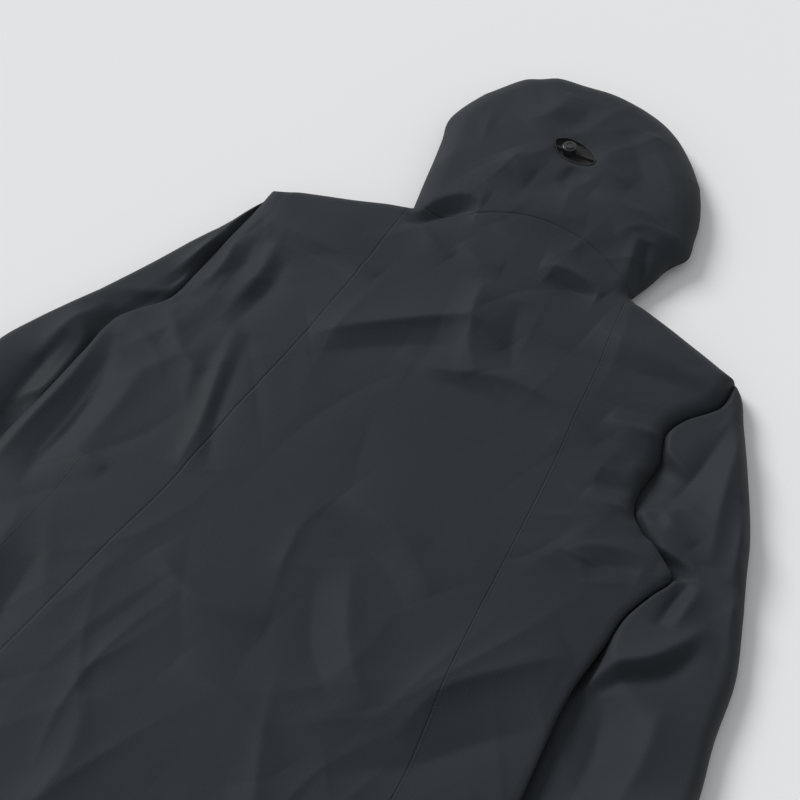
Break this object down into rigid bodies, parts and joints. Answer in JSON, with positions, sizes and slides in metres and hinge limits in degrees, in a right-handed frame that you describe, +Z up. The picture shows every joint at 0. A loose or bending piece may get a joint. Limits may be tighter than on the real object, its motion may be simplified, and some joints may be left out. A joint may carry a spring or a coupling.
{
  "type": "hardshell jacket",
  "caption": "Hooded waterproof shell jacket lying on its front, with zips, cuff tabs, cord locks and a hood and sleeves that fold across the back.",
  "frame": {"origin": "on the resting surface, under the middle of the laid-out jacket", "axes": "+X to the wearer's right, +Y from the hem to the top of the hood, +Z up through the back of the jacket"},
  "size_m": [0.766, 0.986, 0.0465],
  "materials": {
    "shell_fabric": "matt woven face",
    "tab_moulding": "matt",
    "pocket_mesh": "matt mesh",
    "brim_board": "matt, stiffened",
    "zip_tape": "coated tape",
    "zip_metal": "satin black",
    "spring_steel": "drawn wire",
    "shock_cord": "braided",
    "lock_moulding": "semi-gloss",
    "recess_trim": "matt"
  },
  "bodies": {
    "torso": {"back_panel": "shell_fabric", "collar_back": "shell_fabric", "collar_front_left": "shell_fabric", "collar_front_right": "shell_fabric", "front_panel_left": "shell_fabric", "front_panel_right": "shell_fabric", "hand_pocket_left_zip": "zip_tape", "hand_pocket_right_zip": "zip_tape", "hem_cord": "shock_cord", "hem_left_lock": "lock_moulding", "hem_left_spring": "spring_steel", "hem_right_lock": "lock_moulding", "hem_right_spring": "spring_steel", "main_zip_tape_left": "zip_tape", "main_zip_tape_right": "zip_tape", "pocket_bag_left": "pocket_mesh", "pocket_bag_right": "pocket_mesh", "shoulder_panel_left": "shell_fabric", "shoulder_panel_right": "shell_fabric", "side_panel_left": "shell_fabric", "side_panel_right": "shell_fabric", "storm_flap": "shell_fabric", "underarm_left_zip": "zip_tape", "underarm_right_zip": "zip_tape", "zip_garage": "shell_fabric"},
    "hood": {"adjuster_recess": "recess_trim", "hood_back": "shell_fabric", "hood_brim": "brim_board", "hood_chin_left_lock": "lock_moulding", "hood_chin_left_spring": "spring_steel", "hood_chin_right_lock": "lock_moulding", "hood_chin_right_spring": "spring_steel", "hood_front_left": "shell_fabric", "hood_front_right": "shell_fabric", "hood_rear_cord": "shock_cord", "hood_rear_lock": "lock_moulding", "hood_rear_spring": "spring_steel"},
    "sleeve_left": {"cuff_left": "shell_fabric", "under_sleeve_left": "shell_fabric", "upper_sleeve_left": "shell_fabric"},
    "cuff_tab_left": {"cuff_tab_left": "tab_moulding"},
    "sleeve_right": {"cuff_right": "shell_fabric", "under_sleeve_right": "shell_fabric", "upper_sleeve_right": "shell_fabric"},
    "cuff_tab_right": {"cuff_tab_right": "tab_moulding"},
    "main_zip_slider": {"main_zip_slider": "zip_metal"},
    "main_zip_pull": {"main_zip_pull": "zip_metal"},
    "hand_pocket_left_slider": {"hand_pocket_left_slider": "zip_metal"},
    "hand_pocket_left_pull": {"hand_pocket_left_pull": "zip_metal"},
    "hand_pocket_right_slider": {"hand_pocket_right_slider": "zip_metal"},
    "hand_pocket_right_pull": {"hand_pocket_right_pull": "zip_metal"},
    "underarm_left_slider": {"underarm_left_slider": "zip_metal"},
    "underarm_left_pull": {"underarm_left_pull": "zip_metal"},
    "underarm_right_slider": {"underarm_right_slider": "zip_metal"},
    "underarm_right_pull": {"underarm_right_pull": "zip_metal"},
    "hood_rear_button": {"hood_rear_button": "lock_moulding"},
    "hood_chin_left_button": {"hood_chin_left_button": "lock_moulding"},
    "hood_chin_right_button": {"hood_chin_right_button": "lock_moulding"},
    "hem_left_button": {"hem_left_button": "lock_moulding"},
    "hem_right_button": {"hem_right_button": "lock_moulding"}
  },
  "joints": [
    {"name": "hood_fold", "type": "hinge", "parent": "torso", "child": "hood", "pos_m": [0, 0.297, 0.0465], "axis": [1, 0, 0], "range_deg": [0, 175]},
    {"name": "sleeve_fold_left", "type": "hinge", "parent": "torso", "child": "sleeve_left", "pos_m": [-0.2515, 0, 0.0365], "axis": [0, 1, 0], "range_deg": [0, 170]},
    {"name": "sleeve_fold_right", "type": "hinge", "parent": "torso", "child": "sleeve_right", "pos_m": [0.2515, 0, 0.0365], "axis": [0, -1, 0], "range_deg": [0, 170]},
    {"name": "cuff_tab_peel_left", "type": "hinge", "parent": "sleeve_left", "child": "cuff_tab_left", "pos_m": [-0.367, -0.377, 0.0279], "axis": [0, -1, 0], "range_deg": [0, 150]},
    {"name": "cuff_tab_peel_right", "type": "hinge", "parent": "sleeve_right", "child": "cuff_tab_right", "pos_m": [0.367, -0.377, 0.0279], "axis": [0, 1, 0], "range_deg": [0, 150]},
    {"name": "main_zip_run", "type": "slide", "parent": "torso", "child": "main_zip_slider", "axis": [0, -1, 0], "range_m": [0, 0.744]},
    {"name": "main_zip_pull_flip", "type": "hinge", "parent": "main_zip_slider", "child": "main_zip_pull", "pos_m": [0, 0.262, 0.0021], "axis": [1, 0, 0], "range_deg": [0, 175]},
    {"name": "hand_pocket_left_zip_run", "type": "slide", "parent": "torso", "child": "hand_pocket_left_slider", "axis": [-0.1045, -0.9945, 0], "range_m": [0, 0.141]},
    {"name": "hand_pocket_left_pull_flip", "type": "hinge", "parent": "hand_pocket_left_slider", "child": "hand_pocket_left_pull", "pos_m": [-0.14206, -0.15442, 0.0021], "axis": [0.9945, -0.1045, 0], "range_deg": [0, 150]},
    {"name": "hand_pocket_right_zip_run", "type": "slide", "parent": "torso", "child": "hand_pocket_right_slider", "axis": [0.1045, -0.9945, 0], "range_m": [0, 0.141]},
    {"name": "hand_pocket_right_pull_flip", "type": "hinge", "parent": "hand_pocket_right_slider", "child": "hand_pocket_right_pull", "pos_m": [0.14206, -0.15442, 0.0021], "axis": [0.9945, 0.1045, 0], "range_deg": [0, 150]},
    {"name": "underarm_left_zip_run", "type": "slide", "parent": "torso", "child": "underarm_left_slider", "axis": [0, -1, 0], "range_m": [0, 0.171]},
    {"name": "underarm_left_pull_flip", "type": "hinge", "parent": "underarm_left_slider", "child": "underarm_left_pull", "pos_m": [-0.222, 0.071, 0.0021], "axis": [1, 0, 0], "range_deg": [0, 150]},
    {"name": "underarm_right_zip_run", "type": "slide", "parent": "torso", "child": "underarm_right_slider", "axis": [0, -1, 0], "range_m": [0, 0.171]},
    {"name": "underarm_right_pull_flip", "type": "hinge", "parent": "underarm_right_slider", "child": "underarm_right_pull", "pos_m": [0.222, 0.071, 0.0021], "axis": [1, 0, 0], "range_deg": [0, 150]},
    {"name": "hood_rear_button_press", "type": "slide", "parent": "hood", "child": "hood_rear_button", "axis": [0, 0, -1], "range_m": [0, 0.0014], "stiffness_N_per_m": 900, "springref_m": -0.0008, "deforming": ["hood_rear_spring"]},
    {"name": "hood_chin_left_button_press", "type": "slide", "parent": "hood", "child": "hood_chin_left_button", "axis": [0, 0, 1], "range_m": [0, 0.0014], "stiffness_N_per_m": 900, "springref_m": -0.0008, "deforming": ["hood_chin_left_spring"]},
    {"name": "hood_chin_right_button_press", "type": "slide", "parent": "hood", "child": "hood_chin_right_button", "axis": [0, 0, 1], "range_m": [0, 0.0014], "stiffness_N_per_m": 900, "springref_m": -0.0008, "deforming": ["hood_chin_right_spring"]},
    {"name": "hem_left_button_press", "type": "slide", "parent": "torso", "child": "hem_left_button", "axis": [0, 0, -1], "range_m": [0, 0.0014], "stiffness_N_per_m": 900, "springref_m": -0.0008, "deforming": ["hem_left_spring"]},
    {"name": "hem_right_button_press", "type": "slide", "parent": "torso", "child": "hem_right_button", "axis": [0, 0, -1], "range_m": [0, 0.0014], "stiffness_N_per_m": 900, "springref_m": -0.0008, "deforming": ["hem_right_spring"]}
  ]
}
